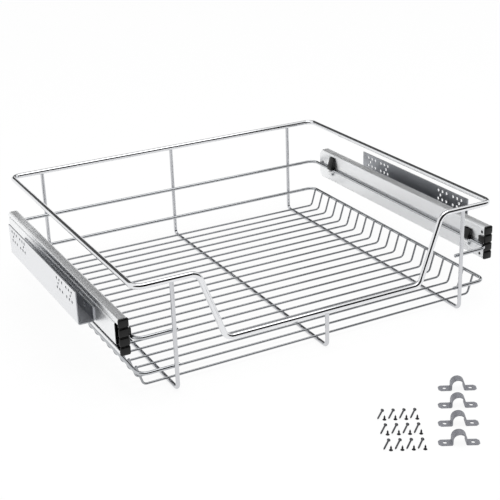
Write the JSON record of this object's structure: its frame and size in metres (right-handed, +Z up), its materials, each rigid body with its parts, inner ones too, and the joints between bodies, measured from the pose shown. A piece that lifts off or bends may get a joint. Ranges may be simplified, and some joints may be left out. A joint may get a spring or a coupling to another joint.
{
  "type": "pull-out cabinet basket",
  "caption": "Chrome wire basket with a low front that pulls out of a base cabinet on two full-extension ball-bearing slides with side brackets.",
  "frame": {"origin": "on the basket's centre lines in plan, level with the underside of its frame wires, with the basket closed", "axes": "+X to the right across the cabinet, -Y towards the front that the basket is pulled to, +Z up"},
  "size_m": [0.563, 0.7077, 0.1432],
  "materials": {
    "chrome_wire": "bright chrome plating on round steel wire",
    "zinc_rail": "satin zinc plating on rolled sheet steel",
    "zinc_bracket": "satin zinc plating on pressed sheet steel",
    "cage_steel": "plain pressed strip steel",
    "ball_steel": "polished bearing steel",
    "black_plastic": "moulded black plastic",
    "clamp_steel": "dull grey zinc plating on pressed strip",
    "screw_steel": "dark plated steel"
  },
  "bodies": {
    "cabinet_side": {"left_cabinet_bracket": "zinc_bracket", "left_cabinet_rail": "zinc_rail", "left_bracket_rivets": "zinc_bracket", "right_cabinet_bracket": "zinc_bracket", "right_cabinet_rail": "zinc_rail", "right_bracket_rivets": "zinc_bracket"},
    "basket": {"rim": "chrome_wire", "left_frame_wire": "chrome_wire", "centre_frame_wire": "chrome_wire", "right_frame_wire": "chrome_wire", "middle_ring": "chrome_wire", "lower_ring": "chrome_wire", "floor_wire_01": "chrome_wire", "floor_wire_02": "chrome_wire", "floor_wire_03": "chrome_wire", "floor_wire_04": "chrome_wire", "floor_wire_05": "chrome_wire", "floor_wire_06": "chrome_wire", "floor_wire_07": "chrome_wire", "floor_wire_08": "chrome_wire", "floor_wire_09": "chrome_wire", "floor_wire_10": "chrome_wire", "floor_wire_11": "chrome_wire", "floor_wire_12": "chrome_wire", "floor_wire_13": "chrome_wire", "floor_wire_14": "chrome_wire", "floor_wire_15": "chrome_wire", "floor_wire_16": "chrome_wire", "floor_wire_17": "chrome_wire", "floor_wire_18": "chrome_wire", "floor_wire_19": "chrome_wire", "floor_wire_20": "chrome_wire", "left_basket_rail": "zinc_rail", "left_end_cap": "black_plastic", "left_front_clip": "black_plastic", "left_rear_clip": "black_plastic", "right_basket_rail": "zinc_rail", "right_end_cap": "black_plastic", "right_front_clip": "black_plastic", "right_rear_clip": "black_plastic", "saddle_clamps": "clamp_steel", "long_screws": "screw_steel", "short_screws": "screw_steel"},
    "left_middle": {"left_middle_rail": "zinc_rail"},
    "left_outer_cage": {"left_outer_ball_cage": "cage_steel", "left_outer_balls": "ball_steel"},
    "left_inner_cage": {"left_inner_ball_cage": "cage_steel", "left_inner_balls": "ball_steel"},
    "right_middle": {"right_middle_rail": "zinc_rail"},
    "right_outer_cage": {"right_outer_ball_cage": "cage_steel", "right_outer_balls": "ball_steel"},
    "right_inner_cage": {"right_inner_ball_cage": "cage_steel", "right_inner_balls": "ball_steel"}
  },
  "joints": [
    {"name": "basket_slide", "type": "slide", "parent": "cabinet_side", "child": "basket", "axis": [0, -1, 0], "range_m": [0, 0.4]},
    {"name": "left_middle_slide", "type": "slide", "parent": "cabinet_side", "child": "left_middle", "axis": [0, -1, 0], "range_m": [0, 0.2]},
    {"name": "left_outer_cage_slide", "type": "slide", "parent": "cabinet_side", "child": "left_outer_cage", "axis": [0, -1, 0], "range_m": [0, 0.3]},
    {"name": "left_inner_cage_slide", "type": "slide", "parent": "cabinet_side", "child": "left_inner_cage", "axis": [0, -1, 0], "range_m": [0, 0.1]},
    {"name": "right_middle_slide", "type": "slide", "parent": "cabinet_side", "child": "right_middle", "axis": [0, -1, 0], "range_m": [0, 0.2]},
    {"name": "right_outer_cage_slide", "type": "slide", "parent": "cabinet_side", "child": "right_outer_cage", "axis": [0, -1, 0], "range_m": [0, 0.3]},
    {"name": "right_inner_cage_slide", "type": "slide", "parent": "cabinet_side", "child": "right_inner_cage", "axis": [0, -1, 0], "range_m": [0, 0.1]}
  ],
  "couplings": [
    {"joint": "left_middle_slide", "follows": "basket_slide", "ratio": 0.5},
    {"joint": "left_outer_cage_slide", "follows": "basket_slide", "ratio": 0.75},
    {"joint": "left_inner_cage_slide", "follows": "basket_slide", "ratio": 0.25},
    {"joint": "right_middle_slide", "follows": "basket_slide", "ratio": 0.5},
    {"joint": "right_outer_cage_slide", "follows": "basket_slide", "ratio": 0.75},
    {"joint": "right_inner_cage_slide", "follows": "basket_slide", "ratio": 0.25}
  ]
}
